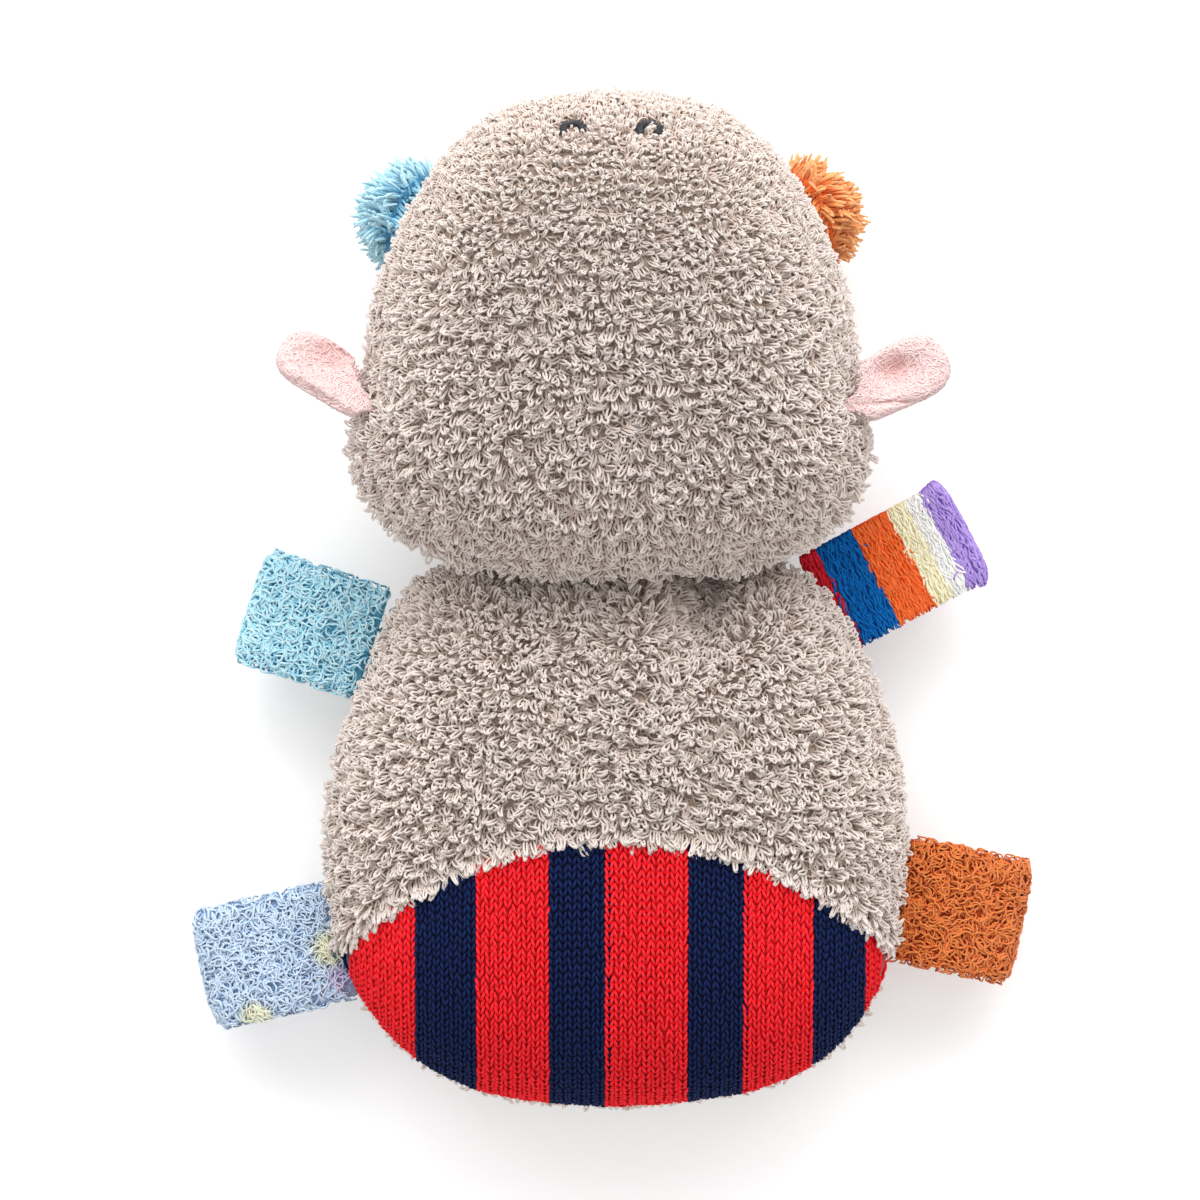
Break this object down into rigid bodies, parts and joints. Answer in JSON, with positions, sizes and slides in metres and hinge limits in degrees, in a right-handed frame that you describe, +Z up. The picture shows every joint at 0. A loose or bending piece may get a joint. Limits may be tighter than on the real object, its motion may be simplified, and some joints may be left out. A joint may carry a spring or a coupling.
{
  "type": "plush hippo",
  "caption": "Terry-cloth plush hippo lying on its belly: stuffed head and body cushions, ears, ball eyes, folded cloth tabs for limbs and a striped knitted seat.",
  "frame": {"origin": "middle of the whole toy's bounding box in plan, at the level of the surface that it lies on", "axes": "+Y from the seat to the nose, +Z up through the back as it lies on its belly, +X to its right"},
  "size_m": [0.2018, 0.2446, 0.078],
  "materials": {
    "grey_terry": "matte",
    "grey_terry_under": "matte",
    "striped_knit": "matte",
    "fibre_filling": "matte",
    "light_blue_terry": "matte",
    "orange_terry": "matte",
    "pink_terry": "matte",
    "sky_blue_terry": "matte",
    "striped_terry": "matte",
    "pale_blue_terry": "matte",
    "burnt_orange_terry": "matte",
    "charcoal_thread": "satin"
  },
  "bodies": {
    "torso": {"back_panel": "grey_terry", "belly_panel": "grey_terry", "seat_panel": "striped_knit", "body_stuffing": "fibre_filling"},
    "neck": {"neck_gather": "grey_terry"},
    "head": {"head_top_panel": "grey_terry", "head_under_panel": "grey_terry_under", "head_stuffing": "fibre_filling", "eye_ball_left": "light_blue_terry", "eye_stuffing_left": "fibre_filling", "eye_ball_right": "orange_terry", "eye_stuffing_right": "fibre_filling", "nostril_left": "charcoal_thread", "nostril_right": "charcoal_thread"},
    "ear_left": {"ear_left": "pink_terry"},
    "ear_right": {"ear_right": "pink_terry"},
    "arm_left": {"arm_tab_left": "sky_blue_terry"},
    "arm_right": {"arm_tab_right": "striped_terry"},
    "leg_left": {"leg_tab_left": "pale_blue_terry"},
    "leg_right": {"leg_tab_right": "burnt_orange_terry"}
  },
  "joints": [
    {"name": "neck_turn", "type": "hinge", "parent": "torso", "child": "neck", "pos_m": [-0.00011, -0.0055, 0.022], "axis": [0, 0, 1], "range_deg": [-6, 6], "stiffness_Nm_per_rad": 0.12},
    {"name": "neck_nod", "type": "hinge", "parent": "neck", "child": "head", "pos_m": [-0.00011, -0.0055, 0.022], "axis": [1, 0, 0], "range_deg": [-8, 12], "stiffness_Nm_per_rad": 0.12},
    {"name": "ear_left_fold", "type": "hinge", "parent": "head", "child": "ear_left", "pos_m": [-0.05978, 0.04908, 0.046], "axis": [0.515, 0.8572, 0], "range_deg": [-10, 35], "stiffness_Nm_per_rad": 0.004},
    {"name": "ear_right_fold", "type": "hinge", "parent": "head", "child": "ear_right", "pos_m": [0.05974, 0.04875, 0.046], "axis": [0.4226, -0.9063, 0], "range_deg": [-10, 35], "stiffness_Nm_per_rad": 0.004},
    {"name": "arm_left_flap", "type": "hinge", "parent": "torso", "child": "arm_left", "pos_m": [-0.06167, -0.00931, 0.018], "axis": [0.3173, 0.9483, 0], "range_deg": [-40, 30], "stiffness_Nm_per_rad": 0.01},
    {"name": "arm_right_flap", "type": "hinge", "parent": "torso", "child": "arm_right", "pos_m": [0.05693, 0.00088, 0.018], "axis": [0.4695, -0.8829, 0], "range_deg": [-40, 30], "stiffness_Nm_per_rad": 0.01},
    {"name": "leg_left_flap", "type": "hinge", "parent": "torso", "child": "leg_left", "pos_m": [-0.06936, -0.08287, 0.018], "axis": [-0.225, 0.9744, 0], "range_deg": [-40, 30], "stiffness_Nm_per_rad": 0.01},
    {"name": "leg_right_flap", "type": "hinge", "parent": "torso", "child": "leg_right", "pos_m": [0.07311, -0.07287, 0.018], "axis": [-0.2079, -0.9781, 0], "range_deg": [-40, 30], "stiffness_Nm_per_rad": 0.01}
  ]
}
